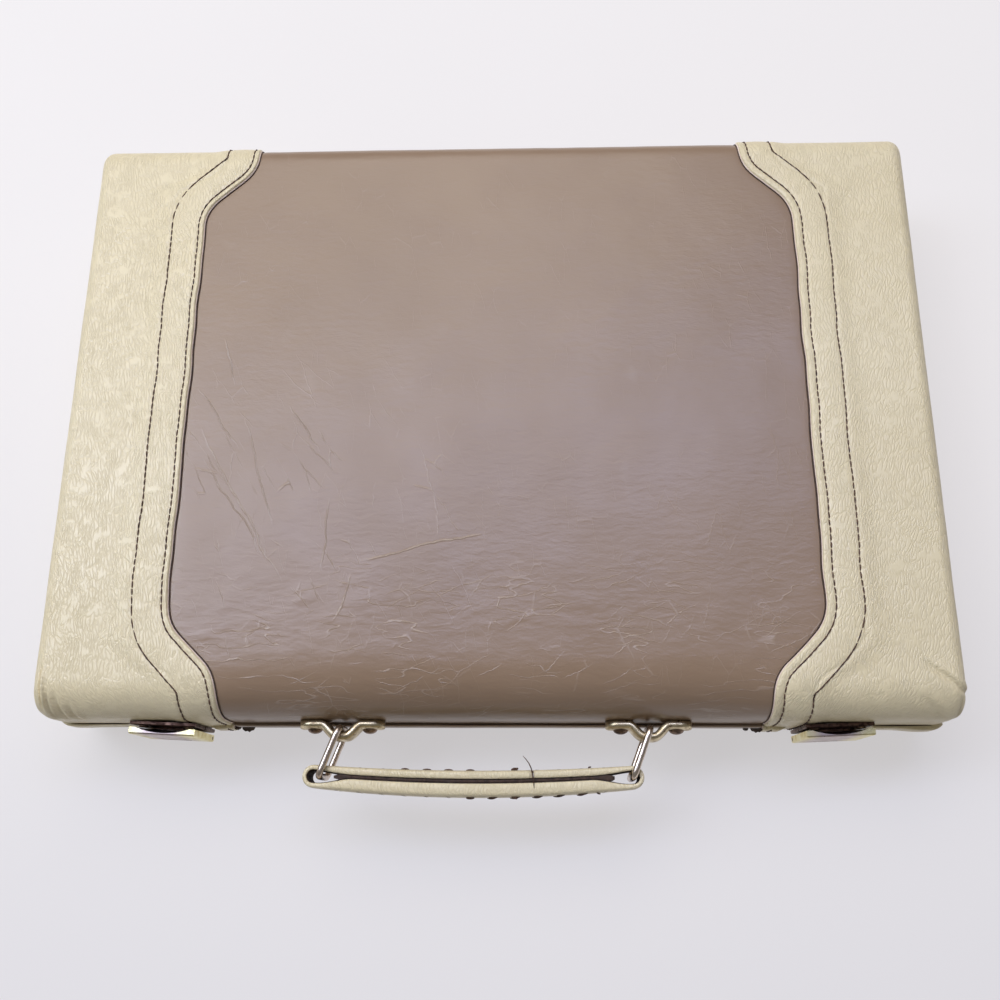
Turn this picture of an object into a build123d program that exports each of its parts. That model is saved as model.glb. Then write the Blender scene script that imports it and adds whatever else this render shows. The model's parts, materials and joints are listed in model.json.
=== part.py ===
"""Folding backgammon case, closed: two equal vinyl-covered halves hinged along the back edge.

Millimetres. X runs along the case, Y from the handle side to the hinge side, Z up.
The script works from the middle of the case's underside; export moves the origin to the
middle of the overall footprint, handle and hinge barrels included.
"""
import os
from math import atan2, cos, degrees, radians, sin, sqrt, tan

from build123d import *

# Case
case_width = 380.0
case_depth = 270.0
case_height = 64.0
seam_gap = 0.4
front_round = 20.0
back_round = 9.0
end_round = 6.0

# Vinyl covers: the end covers lap over the centre cover and are hemmed along their edge
cover_thickness = 1.2
centre_thickness = 0.8
hem_proud = 1.2
hem_width = 15.5
end_cover_width = 53.5
end_cover_reach = 76.5
edge_bend = 20.0
edge_turn_front = 17.0
edge_straight_front = 41.0
edge_turn_back = 15.0
edge_straight_back = 36.0

# Wooden trays
end_wall = 10.0
front_wall = 12.0
back_wall = 10.0
panel_thickness = 3.0
panel_rabbet = 4.0
panel_fit = 0.1
trough_width = 38.0
trough_cove = 12.0
trough_wall_thickness = 6.0
trough_wall_drop = 1.0
divider_thickness = 4.0
divider_height = 20.0

# Playing field
field_thickness = 3.0
field_fit = 0.2
point_thickness = 0.5
point_length = 148.0
point_base_share = 0.94
points_per_end = 6

# Game pieces
checker_diameter = 26.0
checker_thickness = 6.0
checker_chamfer = 0.7
checkers_per_side = 15
piece_fit = 0.05
cup_diameter = 34.0
cup_wall = 2.0
cup_gap = 24.0
cup_play = 2.4
die_size = 11.0
die_pitch = 14.0
doubling_cube_size = 14.0
cube_chamfer = 0.9

# Hinges
hinge_x = 84.0
hinge_width = 50.0
hinge_knuckles = 5
barrel_radius = 2.5
barrel_gap = 0.3
knuckle_gap = 0.2
hinge_pin_radius = 1.0
pin_clearance = 0.05
leaf_thickness = 0.9
leaf_reach = 9.5
leaf_fit = 0.1
hinge_screw_spacing = 18.0
hinge_screw_radius = 0.9
hinge_screw_head_radius = 1.8
hinge_screw_length = 7.0

# Latches
latch_inset = 49.5
latch_shift = 1.5
latch_width = 28.0
latch_height = 28.0
latch_plate_thickness = 1.5
latch_seam_gap = 0.3
lever_thickness = 2.9
lever_standoff = 1.0
lever_scoop = 2.1
lever_scoop_width = 23.0
lever_foot = 1.8
boss_width = 10.0
boss_gap = 0.4
latch_pin_radius = 0.75
catch_width = 14.0
catch_height = 1.8
catch_gap = 0.3
latch_rivet_x = 9.5
latch_rivet_inset = 4.5

# Rivets
rivet_shank_radius = 1.2
rivet_fit = 0.05
rivet_head_radius = 2.1
rivet_head_height = 0.8
rivet_head_crown = 0.85
rivet_length = 7.0

# Handle
bracket_spacing = 128.5
bracket_rise = 7.5
bracket_height = 11.0
bracket_width = 36.0
bracket_end_round = 5.3
strip_thickness = 1.6
loop_depth = 6.4
loop_half_width = 3.6
loop_foot = 6.0
loop_bend = 2.0
foot_bend = 2.4
bracket_rivet_x = 11.6
bracket_rivet_head_radius = 3.2
bracket_rivet_head_height = 2.3
ring_wire = 2.8
ring_fit = 0.1
ring_reach = 21.0
ring_height = 19.0
ring_corner = 3.0
ring_sway = -21.0
strap_height = 15.0
strap_end_radius = 4.7
strap_middle = 10.8
strap_bow = 2.8
strap_slack = 2.6
eye_radius = 2.4
eye_length = 8.0
eye_tip_radius = 0.6
eye_play = 0.5

# Derived places
edge_middle_x = case_width / 2 - end_cover_width
edge_end_x = case_width / 2 - end_cover_reach
latch_x = case_width / 2 - latch_inset
seam_z = case_height / 2
rim_z = seam_z - seam_gap / 2
core_inset = cover_thickness
core_floor = hem_proud + core_inset
floor_z = core_floor + panel_thickness
inner_x = case_width / 2 - core_inset - end_wall
inner_front = -case_depth / 2 + core_inset + front_wall
inner_back = case_depth / 2 - core_inset - back_wall
trough_back = inner_front + trough_width
divider_x = inner_x - checkers_per_side * checker_thickness - 2 * field_fit - divider_thickness / 2
cup_length = divider_x - divider_thickness / 2 - cup_play - cup_gap / 2
field_front = trough_back + trough_wall_thickness
field_top = floor_z + field_thickness
centre_face = case_depth / 2 - cover_thickness + centre_thickness
axis_y = centre_face + barrel_gap + barrel_radius
bracket_z = seam_z + bracket_rise
channel_y = -centre_face - loop_depth + strip_thickness + ring_fit + ring_wire / 2
eye_x = ring_reach * sin(radians(ring_sway))
eye_y = channel_y - ring_reach * cos(radians(ring_sway))
strap_front = eye_y - strap_bow - strap_middle / 2
footprint_middle = (strap_front + axis_y + barrel_radius) / 2

nodes = {}


# Case shell
def case_block(grow):
    """The closed case with every face moved out by grow, its ends rounded over."""
    depth = case_depth + 2 * grow
    height = case_height - 2 * hem_proud + 2 * grow
    section = Rectangle(depth, height)
    section = fillet(section.vertices().filter_by(lambda v: v.Y != 0 and v.X < 0), front_round + grow)
    section = fillet(section.vertices().filter_by(lambda v: v.X > depth / 2 - 0.01), back_round + grow)
    block = extrude(Plane.YZ * section, case_width / 2 + grow, both=True)
    block = fillet(block.faces().filter_by(Axis.X).edges(), end_round + grow)
    return Pos(0, 0, seam_z) * block


def keep_base(solid):
    """What lies below the seam."""
    reach = 2 * case_width
    return solid & Pos(0, 0, rim_z - reach / 2) * Box(reach, reach, reach)


def to_lid(solid):
    """The lid's twin of a base piece, mirrored about the seam."""
    return mirror(solid, about=Plane.XY.offset(seam_z))


def beyond_edge(side, shift):
    """The plan area outside an end cover's S-shaped edge, the edge moved outward by shift."""
    front = -case_depth / 2
    back = case_depth / 2
    slope = atan2(edge_middle_x - edge_end_x, edge_straight_front - edge_turn_front)
    lead = shift * tan(slope / 2)
    far = case_depth
    end_x = edge_end_x + shift
    middle_x = edge_middle_x + shift
    corners = [
        (end_x, -far),
        (end_x, front + edge_turn_front - lead),
        (middle_x, front + edge_straight_front - lead),
        (middle_x, back - edge_straight_back + lead),
        (end_x, back - edge_turn_back + lead),
        (end_x, far),
    ]
    edge = FilletPolyline(*corners, radius=edge_bend)
    outside = case_width
    closing = Polyline((end_x, far), (outside, far), (outside, -far), (end_x, -far))
    area = make_face(edge.edges() + closing.edges())
    prism = extrude(area, case_height * 2, both=True)
    return prism if side > 0 else mirror(prism, about=Plane.YZ)


def covers():
    """Centre cover and hemmed end covers of the closed case."""
    core = case_block(-core_inset)
    centre_skin = case_block(centre_thickness - cover_thickness)
    end_skin = case_block(0)
    hem_skin = case_block(hem_proud)
    centre = centre_skin - core
    ends = []
    for side in (-1, 1):
        under_hem = beyond_edge(side, 0)
        past_hem = beyond_edge(side, hem_width)
        centre -= past_hem
        hem = (hem_skin - centre_skin) & (under_hem - past_hem)
        ends.append((end_skin - core) & past_hem)
        ends[-1] += hem
    return centre, ends[0], ends[1]


def tray_cavity():
    """The hollow of a tray, coved along the bottom of the handle side."""
    depth = inner_back - inner_front
    height = seam_z - floor_z
    middle = (inner_back + inner_front) / 2
    hollow = Pos(0, middle, floor_z + height / 2) * Box(2 * inner_x, depth, height)
    bottom = hollow.edges().filter_by(Axis.X).group_by(Axis.Z)[0]
    return fillet(bottom.sort_by(Axis.Y)[0], trough_cove)


def panel(clearance):
    """The hardboard bottom, let into a rabbet in the frame."""
    width = 2 * (inner_x + panel_rabbet - clearance)
    front = max(inner_front + trough_cove - panel_rabbet, front_round - case_depth / 2) + clearance
    back = min(inner_back + panel_rabbet, case_depth / 2 - back_round) - clearance
    place = Pos(0, (front + back) / 2, core_floor + panel_thickness / 2)
    return place * Box(width, back - front, panel_thickness)


def tray_frame():
    """Bullnosed wooden frame of one tray."""
    return keep_base(case_block(-core_inset)) - tray_cavity() - panel(0)


# Playing field
def playing_field():
    width = 2 * (inner_x - field_fit)
    depth = inner_back - field_front - 2 * field_fit
    middle = (inner_back + field_front) / 2
    return Pos(0, middle, floor_z + field_thickness / 2) * Box(width, depth, field_thickness)


def points(parity):
    """Every second tapered point, half of them at each end of the field."""
    pitch = (inner_back - field_front) / points_per_end
    half = pitch * point_base_share / 2
    base_x = inner_x - field_fit
    found = []
    for side in (-1, 1):
        for place in range(points_per_end):
            if (place + (side > 0)) % 2 != parity:
                continue
            y = field_front + pitch * (place + 0.5)
            tip = (side * (base_x - point_length), y)
            outline = Polyline((side * base_x, y - half), (side * base_x, y + half), tip, close=True)
            found.append(Pos(0, 0, field_top) * extrude(make_face(outline.edges()), point_thickness))
    return found


def trough_wall():
    height = rim_z - trough_wall_drop - floor_z
    middle = trough_back + trough_wall_thickness / 2
    width = 2 * (inner_x - field_fit)
    wall = Pos(0, middle, floor_z + height / 2) * Box(width, trough_wall_thickness, height)
    return fillet(wall.edges().filter_by(Axis.X).group_by(Axis.Z)[-1], trough_wall_thickness / 3)


def trough_dividers():
    """Two slips that part the checkers from the dice cups, shaped to the cove."""
    hollow = tray_cavity()
    found = []
    middle = (inner_front + trough_back) / 2
    for side in (-1, 1):
        place = Pos(side * divider_x, middle, floor_z + divider_height / 2)
        found.append((place * Box(divider_thickness, trough_width, divider_height)) & hollow)
    return found


# Game pieces
def checkers(side):
    radius = checker_diameter / 2
    disc = chamfer(Cylinder(radius, checker_thickness - piece_fit).edges(), checker_chamfer)
    middle = (inner_front + trough_back) / 2
    found = []
    for place in range(checkers_per_side):
        x = side * (inner_x - field_fit - checker_thickness * (place + 0.5))
        found.append(Pos(x, middle, floor_z + radius + piece_fit) * Rot(0, 90, 0) * disc)
    return found


def cup_centre():
    return (inner_front + trough_back) / 2, floor_z + cup_diameter / 2 + piece_fit


def dice_cup(side):
    """A cup lying in the trough with its mouth towards the middle."""
    radius = cup_diameter / 2
    y, z = cup_centre()
    body = Cylinder(radius, cup_length)
    body = fillet(body.edges().group_by(Axis.Z)[0], cup_wall)
    bore = Pos(0, 0, cup_wall) * Cylinder(radius - cup_wall, cup_length)
    cup = body - bore
    turn = Rot(0, 90, 0) if side < 0 else Rot(0, -90, 0)
    return Pos(side * (cup_gap + cup_length) / 2, y, z) * turn * cup


def cube_in_cup(x, size):
    """A cube resting on the round inside of a cup."""
    y, z = cup_centre()
    bore = cup_diameter / 2 - cup_wall
    drop = sqrt(bore**2 - (size / 2) ** 2) - piece_fit - size / 2
    return Pos(x, y, z - drop) * chamfer(Box(size, size, size).edges(), cube_chamfer)


def dice(side):
    first = side * (cup_gap / 2 + die_size)
    return [cube_in_cup(first + side * die_pitch * place, die_size) for place in range(2)]


def doubling_cube():
    past_dice = cup_gap / 2 + die_size / 2 + 2 * die_pitch
    return cube_in_cup(past_dice + doubling_cube_size / 2, doubling_cube_size)


# Fasteners
def dome_rivet(head_radius, head_height, grow=0.0):
    """Rivet along Z, its head's underside at the origin and its shank below."""
    shank = Pos(0, 0, -rivet_length / 2) * Cylinder(rivet_shank_radius + grow, rivet_length)
    if grow:
        return shank
    head = Pos(0, 0, head_height / 2) * Cylinder(head_radius, head_height)
    head = fillet(head.edges().group_by(Axis.Z)[-1], head_height * rivet_head_crown)
    return head + shank


def sunk_screw(grow=0.0):
    """Countersunk screw along Z with its head flush at the origin."""
    head_depth = hinge_screw_head_radius - hinge_screw_radius
    top = hinge_screw_head_radius + grow
    bottom = hinge_screw_radius + grow
    head = Pos(0, 0, -head_depth / 2) * Cone(bottom, top, head_depth)
    shank_length = hinge_screw_length - head_depth
    shank = Pos(0, 0, -head_depth - shank_length / 2) * Cylinder(bottom, shank_length)
    return head + shank


# Hinges
def hinge_screw_places():
    y = axis_y - (leaf_reach + barrel_radius + barrel_gap) / 2
    for side in (-1, 1):
        for step in (-1, 0, 1):
            yield Pos(side * hinge_x + step * hinge_screw_spacing, y, rim_z)


def leaf_pocket():
    """The shallow recesses for the leaves in the rim of the base, open to the outer face."""
    depth = leaf_reach + barrel_radius
    y = axis_y - leaf_reach - leaf_fit + depth / 2
    box = Box(hinge_width + 2 * leaf_fit, depth, 2 * leaf_thickness)
    return [Pos(side * hinge_x, y, rim_z) * box for side in (-1, 1)]


def hinge_leaf(side, odd):
    """A leaf in the rim of the base with its share of the interleaved knuckles."""
    inner = axis_y - leaf_reach
    outer = axis_y - barrel_radius - barrel_gap
    z = rim_z - leaf_thickness / 2
    leaf = Pos(0, (inner + outer) / 2, z) * Box(hinge_width, outer - inner, leaf_thickness)
    pitch = hinge_width / hinge_knuckles
    for place in range(odd, hinge_knuckles, 2):
        x = -hinge_width / 2 + pitch * (place + 0.5)
        length = pitch - knuckle_gap
        tongue = Pos(x, (outer + axis_y) / 2, z) * Box(length, axis_y - outer, leaf_thickness)
        barrel = Pos(x, axis_y, seam_z) * Rot(0, 90, 0) * Cylinder(barrel_radius, length)
        leaf += tongue + barrel
    bore_radius = hinge_pin_radius + pin_clearance
    leaf -= Pos(0, axis_y, seam_z) * Rot(0, 90, 0) * Cylinder(bore_radius, hinge_width * 2)
    leaf = Pos(side * hinge_x, 0, 0) * leaf
    for place in hinge_screw_places():
        leaf -= place * sunk_screw(rivet_fit)
    return leaf


def hinge_pin(side):
    pin = Cylinder(hinge_pin_radius, hinge_width)
    return Pos(side * hinge_x, axis_y, seam_z) * Rot(0, 90, 0) * pin


# Latches, built about their own middle with the wall behind them at y = 0
latch_outer = latch_x + latch_shift + latch_width / 2
latch_splay = atan2(hem_proud, latch_outer - edge_end_x - hem_width)
latch_bottom = seam_z - latch_height / 2
latch_top = seam_z + latch_height / 2
lever_back = latch_plate_thickness + lever_standoff
boss_radius = lever_thickness / 2
latch_pin_y = -lever_back - lever_thickness / 2
latch_pin_z = latch_bottom + lever_foot


def place_latch(side, piece):
    """The plate beds on the hem at its inner end and on the end cover at its outer end."""
    x = side * latch_x + latch_shift
    y = -case_depth / 2 - tan(latch_splay) * (latch_outer - abs(x))
    return Location((x, y, 0), (0, 0, side * degrees(latch_splay))) * piece


def latch_rivet_places(z):
    for step in (-1, 1):
        yield Pos(step * latch_rivet_x, -latch_plate_thickness, z) * Rot(90, 0, 0)


def plate_strip(low, high):
    """A flat plate between two heights with softened front edges."""
    plate = Pos(0, -latch_plate_thickness / 2, (low + high) / 2)
    plate *= Box(latch_width, latch_plate_thickness, high - low)
    return chamfer(plate.faces().sort_by(Axis.Y)[0].edges(), latch_plate_thickness / 4)


def latch_pin_bore(length, grow):
    bore = Cylinder(latch_pin_radius + grow, length)
    return Pos(0, latch_pin_y, latch_pin_z) * Rot(0, 90, 0) * bore


def latch_plate():
    """Plate on the base with the boss that carries the lever's pin."""
    high = rim_z - latch_seam_gap
    plate = plate_strip(latch_bottom, high)
    boss = Pos(0, latch_pin_y, latch_pin_z) * Rot(0, 90, 0) * Cylinder(boss_radius, boss_width)
    arm = Pos(0, latch_pin_y / 2, latch_pin_z) * Box(boss_width, -latch_pin_y, 2 * boss_radius)
    plate += boss + arm
    plate -= latch_pin_bore(latch_width, pin_clearance)
    for place in latch_rivet_places(high - latch_rivet_inset):
        plate -= place * dome_rivet(0, 0, rivet_fit)
    return plate


def keeper():
    """Plate on the lid with the bar that the catch sits under."""
    low = seam_z + seam_gap / 2 + latch_seam_gap
    plate = plate_strip(low, latch_top)
    depth = lever_standoff - catch_gap
    bar = Pos(0, -latch_plate_thickness - depth / 2, low + catch_height / 2)
    plate += bar * Box(catch_width, depth, catch_height)
    for place in latch_rivet_places(latch_top - latch_rivet_inset):
        plate -= place * dome_rivet(0, 0, rivet_fit)
    return plate


def latch_lever():
    """Lever with a dished finger lip along its top edge, turning on a pin at its foot."""
    middle_y = -lever_back - lever_thickness / 2
    lever = Pos(0, middle_y, seam_z) * Box(latch_width, lever_thickness, latch_height)
    front = lever.faces().sort_by(Axis.Y)[0]
    lever = fillet(front.edges(), lever_thickness / 4)
    half = lever_scoop_width / 2
    radius = (half**2 + lever_scoop**2) / (2 * lever_scoop)
    scoop = Pos(0, -lever_back - lever_scoop + radius, latch_top) * Sphere(radius)
    lever -= scoop
    foot_height = lever_foot + boss_radius + boss_gap
    notch = Box(boss_width + 2 * boss_gap, lever_thickness * 2, foot_height)
    lever -= Pos(0, middle_y, latch_bottom + foot_height / 2) * notch
    depth = lever_standoff - catch_gap
    top = seam_z + seam_gap / 2 + latch_seam_gap - catch_gap
    catch = Box(catch_width, depth + lever_thickness / 2, catch_height)
    lever += Pos(0, -lever_back + (depth - lever_thickness / 2) / 2, top - catch_height / 2) * catch
    return lever - latch_pin_bore(latch_width * 2, pin_clearance)


def latch_pin():
    return latch_pin_bore(latch_width - 2 * pin_clearance, 0)


# Handle
def handle_bracket(side):
    """Flat strip bent out into an open loop that holds the ring's upright bar."""
    mid = strip_thickness / 2
    inner = loop_half_width - strip_thickness / 2
    bottom = loop_depth - mid
    half = bracket_width / 2
    left_side = [(-half, -mid), (-loop_foot, -mid), (-inner, -bottom)]
    right_side = [(-x, y) for x, y in reversed(left_side)]
    line = FilletPolyline(*left_side, *right_side, radius=[foot_bend, loop_bend, loop_bend, foot_bend])
    strip = trace(line, strip_thickness)
    strip = extrude(strip, bracket_height / 2, both=True)
    outline = RectangleRounded(bracket_width, bracket_height, bracket_end_round)
    strip &= extrude(Plane.XZ * outline, loop_depth * 2, both=True)
    strip = Pos(side * bracket_spacing / 2, -centre_face, bracket_z) * strip
    for place in bracket_rivet_places(side):
        strip -= place * dome_rivet(0, 0, rivet_fit)
    return strip


def bracket_rivet_places(side):
    for step in (-1, 1):
        x = side * bracket_spacing / 2 + step * bracket_rivet_x
        yield Pos(x, -centre_face - strip_thickness, bracket_z) * Rot(90, 0, 0)


def ring(side):
    """Oblong wire ring, one upright bar in the bracket's loop and the other in the strap's eye."""
    path = Wire(RectangleRounded(ring_reach, ring_height, ring_corner).edges())
    wire_profile = Plane(origin=path.position_at(0), z_dir=path.tangent_at(0)) * Circle(ring_wire / 2)
    loop = sweep(wire_profile, path=path)
    upright = Rot(90, 0, 0) * loop
    hung = Rot(0, 0, -90 + ring_sway) * Pos(ring_reach / 2, 0, 0) * upright
    return Pos(side * bracket_spacing / 2, channel_y, bracket_z) * hung


def handle_strap():
    """Bowed strap, folded back at each end into an eye around the ring, the left eye slack."""
    half = bracket_spacing / 2
    end = strap_end_radius
    left = -half - strap_slack
    far_middle = ((half + left) / 2, strap_middle / 2 - strap_bow)
    near_middle = ((half + left) / 2, -strap_middle / 2 - strap_bow)
    outline = [
        ThreePointArc((left, end), far_middle, (half, end)),
        ThreePointArc((half, end), (half + end, 0), (half, -end)),
        ThreePointArc((half, -end), near_middle, (left, -end)),
        ThreePointArc((left, -end), (left - end, 0), (left, end)),
    ]
    body = make_face([arc.edge() for arc in outline])
    for side, outer in ((-1, -left), (1, half)):
        rounds = [Pos(side * (x - eye_play), 0) * Circle(eye_radius) for x in sorted({half, outer})]
        tip = Pos(side * (half - eye_play - eye_length), -eye_tip_radius) * Circle(eye_tip_radius)
        body -= make_hull([edge for piece in (*rounds, tip) for edge in piece.edges()])
    strap = extrude(body, strap_height / 2, both=True)
    return Pos(eye_x, eye_y, bracket_z) * strap


# Assembly
def build():
    centre, left, right = covers()
    frame = tray_frame()
    pockets = leaf_pocket()
    screw_holes = [place * sunk_screw(rivet_fit) for place in hinge_screw_places()]
    shank = dome_rivet(0, 0, rivet_fit)
    plate_top = rim_z - latch_seam_gap
    plate_holes = {}
    keeper_holes = {}
    for side in (-1, 1):
        low = latch_rivet_places(plate_top - latch_rivet_inset)
        high = latch_rivet_places(latch_top - latch_rivet_inset)
        plate_holes[side] = [place_latch(side, place * shank) for place in low]
        keeper_holes[side] = [place_latch(side, place * shank) for place in high]
    all_plate_holes = plate_holes[-1] + plate_holes[1]
    all_keeper_holes = keeper_holes[-1] + keeper_holes[1]
    bracket_holes = [place * shank for side in (-1, 1) for place in bracket_rivet_places(side)]

    base_cuts = pockets + screw_holes
    nodes["base_frame"] = frame - base_cuts - all_plate_holes
    nodes["base_panel"] = panel(panel_fit)
    nodes["base_cover_centre"] = keep_base(centre) - base_cuts - all_plate_holes
    nodes["base_cover_left"] = keep_base(left) - plate_holes[-1]
    nodes["base_cover_right"] = keep_base(right) - plate_holes[1]

    lid_cuts = [to_lid(cut) for cut in base_cuts] + bracket_holes
    nodes["lid_frame"] = to_lid(frame) - lid_cuts - all_keeper_holes
    nodes["lid_panel"] = to_lid(panel(panel_fit))
    nodes["lid_cover_centre"] = to_lid(keep_base(centre)) - lid_cuts - all_keeper_holes
    nodes["lid_cover_left"] = to_lid(keep_base(left)) - keeper_holes[-1]
    nodes["lid_cover_right"] = to_lid(keep_base(right)) - keeper_holes[1]

    light = points(0)
    dark = points(1)
    nodes["base_playing_field"] = playing_field()
    nodes["base_points_light"] = light
    nodes["base_points_dark"] = dark
    nodes["base_trough_wall"] = trough_wall()
    nodes["lid_playing_field"] = to_lid(playing_field())
    nodes["lid_points_light"] = [to_lid(point) for point in dark]
    nodes["lid_points_dark"] = [to_lid(point) for point in light]
    nodes["lid_trough_wall"] = to_lid(trough_wall())
    nodes["trough_dividers"] = trough_dividers()
    nodes["checkers_light"] = checkers(-1)
    nodes["checkers_dark"] = checkers(1)
    nodes["dice_cup_left"] = dice_cup(-1)
    nodes["dice_cup_right"] = dice_cup(1)
    nodes["dice_light"] = dice(-1)
    nodes["dice_dark"] = dice(1)
    nodes["doubling_cube"] = doubling_cube()

    nodes["hinge_leaves_base"] = [hinge_leaf(side, 0) for side in (-1, 1)]
    nodes["hinge_leaves_lid"] = [to_lid(hinge_leaf(side, 1)) for side in (-1, 1)]
    nodes["hinge_pins"] = [hinge_pin(side) for side in (-1, 1)]
    nodes["hinge_screws_base"] = [place * sunk_screw() for place in hinge_screw_places()]
    nodes["hinge_screws_lid"] = [to_lid(place * sunk_screw()) for place in hinge_screw_places()]

    small_rivet = dome_rivet(rivet_head_radius, rivet_head_height)
    plate_rivets = []
    keeper_rivets = []
    for side, name in ((-1, "left"), (1, "right")):
        nodes["latch_plate_" + name] = place_latch(side, latch_plate())
        nodes["keeper_" + name] = place_latch(side, keeper())
        nodes["latch_lever_" + name] = place_latch(side, latch_lever())
        nodes["handle_bracket_" + name] = handle_bracket(side)
        nodes["ring_" + name] = ring(side)
        low = latch_rivet_places(plate_top - latch_rivet_inset)
        high = latch_rivet_places(latch_top - latch_rivet_inset)
        plate_rivets += [place_latch(side, place * small_rivet) for place in low]
        keeper_rivets += [place_latch(side, place * small_rivet) for place in high]
    nodes["latch_pins"] = [place_latch(side, latch_pin()) for side in (-1, 1)]
    nodes["latch_plate_rivets"] = plate_rivets
    nodes["keeper_rivets"] = keeper_rivets
    large_rivet = dome_rivet(bracket_rivet_head_radius, bracket_rivet_head_height)
    places = [place for side in (-1, 1) for place in bracket_rivet_places(side)]
    nodes["bracket_rivets"] = [place * large_rivet for place in places]
    nodes["handle_strap"] = handle_strap()


def write(name, piece):
    """One STEP file per node; a group is kept as separate solids."""
    members = piece if isinstance(piece, list) else [piece]
    solids = [Pos(0, -footprint_middle, 0) * solid for member in members for solid in member.solids()]
    shape = solids[0] if len(solids) == 1 else Compound(children=solids)
    export_step(shape, os.path.join("parts", name + ".step"))


build()
os.makedirs("parts", exist_ok=True)
for node_name, node_piece in nodes.items():
    write(node_name, node_piece)
print("footprint_middle", round(footprint_middle, 3), "axis_y", round(axis_y, 3))
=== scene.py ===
"""Looks of the closed backgammon case: hemmed vinyl covers, stitching, aged brass and a strap handle."""

import json
import math
import random

import bmesh
import bpy
import numpy as np
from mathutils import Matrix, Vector, noise


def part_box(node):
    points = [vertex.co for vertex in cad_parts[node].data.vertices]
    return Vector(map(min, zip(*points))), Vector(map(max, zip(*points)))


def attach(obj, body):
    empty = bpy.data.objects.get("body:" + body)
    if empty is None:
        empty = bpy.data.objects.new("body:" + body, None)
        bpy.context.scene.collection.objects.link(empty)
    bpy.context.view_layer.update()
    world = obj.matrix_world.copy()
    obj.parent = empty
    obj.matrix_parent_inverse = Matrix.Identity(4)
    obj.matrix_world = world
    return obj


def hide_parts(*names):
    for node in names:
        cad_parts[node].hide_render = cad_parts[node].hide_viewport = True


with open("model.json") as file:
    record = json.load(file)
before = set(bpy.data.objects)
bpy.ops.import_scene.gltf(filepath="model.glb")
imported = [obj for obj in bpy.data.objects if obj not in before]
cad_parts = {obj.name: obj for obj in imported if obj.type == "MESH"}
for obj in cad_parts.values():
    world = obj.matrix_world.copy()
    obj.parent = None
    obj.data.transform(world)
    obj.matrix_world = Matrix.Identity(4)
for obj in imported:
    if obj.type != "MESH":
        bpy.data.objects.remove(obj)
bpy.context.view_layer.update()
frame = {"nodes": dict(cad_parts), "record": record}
random.seed(7)

# Shape of the case in millimetres, as in the part's source
case_width = 380.0
case_depth = 270.0
case_height = 64.0
hem_proud = 1.2
front_round = 20.0
tight_round = 14.5
back_round = 9.0
end_round = 6.0
centre_drop = 0.4
seam_gap = 0.4
lip_round = 1.0
lip_depth = 1.2
front_softness = 0.25
tight_softness = 0.12
back_softness = 0.2
tight_from = 88.0
tight_over = 56.0
flat_end = case_width / 2 - end_round
weld = 0.02
above_floor = 0.02

# Waves of the vinyl: height, width and seed
vinyl_waves = ((0.16, 34.0, 0), (0.07, 11.0, 5))

# The S-shaped edge of the end covers
edge_middle_x = 136.5
edge_end_x = 113.5
edge_bend = 20.0
edge_turns_front = (17.0, 41.0)
edge_turns_back = (15.0, 36.0)

# Hem: its height and where it fades out, the two stitched grooves and the puff between them
hem_height = 0.85
hem_fade = 9.0
inner_groove = (0.38, 0.75)
outer_groove = (0.34, 0.9)
hem_puff = (0.16, 9.0, 3.6)
hem_tuck = 9.0
# Dark line painted along the foot of the hem as its shade: how far in from the edge, and its radius
hem_shade_line_at = 0.72
hem_shade_line_radius = 0.42

# The base half stands proud of the lid along the front
base_proud = 1.5
base_proud_rows = (5.0, 13.0)
corner_proud = 0.9
corner_at = 181.0
corner_width = 8.0
end_from = 188.5
end_share = 0.6
latch_half = 16.5
latch_fade = 4.0
latch_middle = 140.5
end_proud = {-1: 0.5, 1: 0.95}

# Stitching
stitch_pitch = 3.2
stitch_length = 3.3
thread_radius = 0.33
outer_stitch = 14.8
inner_stitch = {-1: 2.3, 1: 3.4}
stitch_arch = np.array([-0.2, 0.14, 0.26, 0.3, 0.26, 0.14, -0.2])
# Spans of the dark line painted along the front seam as shade; the radius of that line and of the strap's
# loose thread end
seam_shade_spans = ((-184.0, -156.0), (-121.0, 124.0), (159.0, 184.0))
fine_tube_radius = 0.24

# Handle strap, about the middle between its two eyes
strap_eye_x = 65.55
strap_end = 4.7
strap_middle = 10.8
strap_bow = 2.8
strap_height = 15.0
strap_skin = 2.3
strap_stitch_pitch = 9.2
strap_stitch_length = 4.4
strap_seam_x = 25.0
strap_gap = 0.45
strap_columns = 28
face_power = 3.4
edge_power = 7.0
strap_crown = 0.06
strap_thread = 0.34
strap_stitch_level = 0.66
strap_stitch_end = 56.0

# Handle brackets and their rivets
bracket_half_width = 18.0
bracket_half_height = 5.5
bracket_end_round = 5.3
bracket_strip = 1.6
bracket_edge = 1.3
bracket_dome = 0.8
loop_out = 4.8
loop_flat = 1.7
loop_fall = 6.6
bracket_rivet_x = 11.6
bracket_rivets_at = 64.25

# Rings
ring_wire = 2.8
ring_corner = 3.0
ring_sides = 16

millimetre = 0.001
seam_z = case_height / 2
lid_low, lid_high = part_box("lid_frame")
case_y = (lid_low.y + lid_high.y) / 2 / millimetre


# Mesh helpers
def linked(name, data):
    """A new object of the scene."""
    made = bpy.data.objects.new(name, data)
    bpy.context.scene.collection.objects.link(made)
    return made


def side_name(side):
    return "left" if side < 0 else "right"


def node_box(name):
    """Low and high corner of a node's box, in millimetres about the case's middle."""
    return [np.array(corner) / millimetre - (0, case_y, 0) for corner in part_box(name)]


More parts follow.
